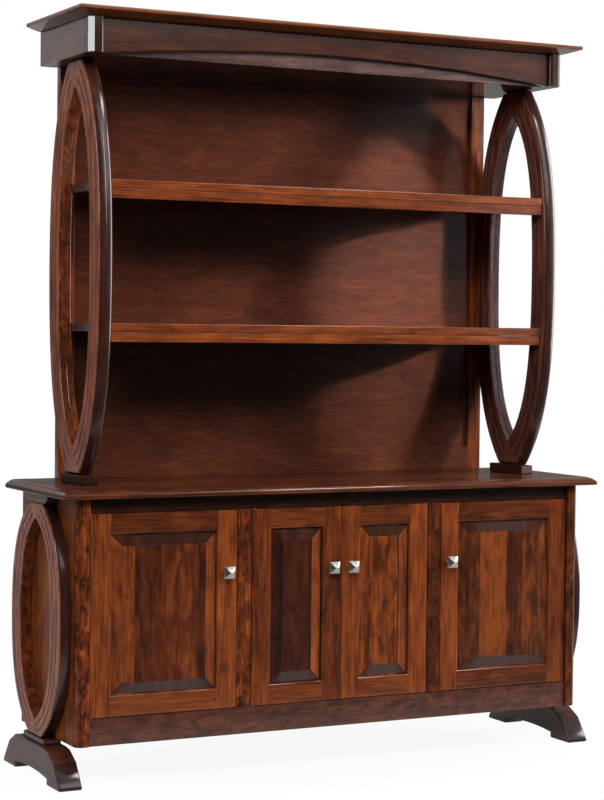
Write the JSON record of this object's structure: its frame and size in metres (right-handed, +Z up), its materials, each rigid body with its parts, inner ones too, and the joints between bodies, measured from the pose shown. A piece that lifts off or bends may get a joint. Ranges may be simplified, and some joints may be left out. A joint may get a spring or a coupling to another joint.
{
  "type": "credenza with hutch",
  "caption": "Long door cabinet on trestle feet between two oval end rings, under an open shelf hutch with oval end rings and an arched cornice.",
  "frame": {"origin": "floor level under the middle of the overall box", "axes": "+X to the right of someone facing the doors, +Y towards the wall, +Z up"},
  "size_m": [1.636, 0.463, 2.0152],
  "materials": {
    "stained_wood": "reddish brown stain under gloss lacquer",
    "dark_edge_wood": "dark brown stain under gloss lacquer",
    "inside_wood": "brown stain, satin",
    "knob_nickel": "brushed nickel",
    "pivot_steel": "plain steel"
  },
  "bodies": {
    "carcass": {"foot_left": "dark_edge_wood", "foot_right": "dark_edge_wood", "foot_block_left": "dark_edge_wood", "foot_block_right": "dark_edge_wood", "base_oval_left": "stained_wood", "base_oval_right": "stained_wood", "oval_cap_left": "dark_edge_wood", "oval_cap_right": "dark_edge_wood", "credenza_top": "stained_wood", "front_post_left": "stained_wood", "front_post_right": "stained_wood", "side_panel_left": "stained_wood", "side_panel_right": "stained_wood", "mullion_left": "stained_wood", "mullion_right": "stained_wood", "top_rail": "stained_wood", "bottom_rail": "stained_wood", "partition_left": "inside_wood", "partition_right": "inside_wood", "inner_shelf_left": "inside_wood", "inner_shelf_right": "inside_wood", "cabinet_floor": "inside_wood", "cabinet_back": "inside_wood", "plinth_left": "dark_edge_wood", "plinth_right": "dark_edge_wood", "hutch_oval_left": "stained_wood", "hutch_oval_right": "stained_wood", "back_post_left": "stained_wood", "back_post_right": "stained_wood", "back_rail": "stained_wood", "back_panel": "stained_wood", "hutch_shelf_lower": "stained_wood", "hutch_shelf_upper": "stained_wood", "cornice_post_left": "stained_wood", "cornice_post_right": "stained_wood", "side_frieze_left": "stained_wood", "side_frieze_right": "stained_wood", "arched_frieze": "stained_wood", "cornice_soffit": "stained_wood", "cornice_crown": "stained_wood"},
    "door_1": {"door_1_frame": "stained_wood", "door_1_panel": "stained_wood", "door_1_knob": "knob_nickel", "door_1_pivot_lower": "pivot_steel", "door_1_pivot_upper": "pivot_steel"},
    "door_2": {"door_2_frame": "stained_wood", "door_2_panel": "stained_wood", "door_2_knob": "knob_nickel", "door_2_pivot_lower": "pivot_steel", "door_2_pivot_upper": "pivot_steel"},
    "door_3": {"door_3_frame": "stained_wood", "door_3_panel": "stained_wood", "door_3_knob": "knob_nickel", "door_3_pivot_lower": "pivot_steel", "door_3_pivot_upper": "pivot_steel"},
    "door_4": {"door_4_frame": "stained_wood", "door_4_panel": "stained_wood", "door_4_knob": "knob_nickel", "door_4_pivot_lower": "pivot_steel", "door_4_pivot_upper": "pivot_steel"}
  },
  "joints": [
    {"name": "door_1_swing", "type": "hinge", "parent": "carcass", "child": "door_1", "pos_m": [-0.726, -0.193, 0.447], "axis": [0, 0, -1], "range_deg": [0, 95]},
    {"name": "door_2_swing", "type": "hinge", "parent": "carcass", "child": "door_2", "pos_m": [-0.2645, -0.193, 0.447], "axis": [0, 0, -1], "range_deg": [0, 95]},
    {"name": "door_3_swing", "type": "hinge", "parent": "carcass", "child": "door_3", "pos_m": [0.2645, -0.193, 0.447], "axis": [0, 0, 1], "range_deg": [0, 95]},
    {"name": "door_4_swing", "type": "hinge", "parent": "carcass", "child": "door_4", "pos_m": [0.726, -0.193, 0.447], "axis": [0, 0, 1], "range_deg": [0, 95]}
  ]
}
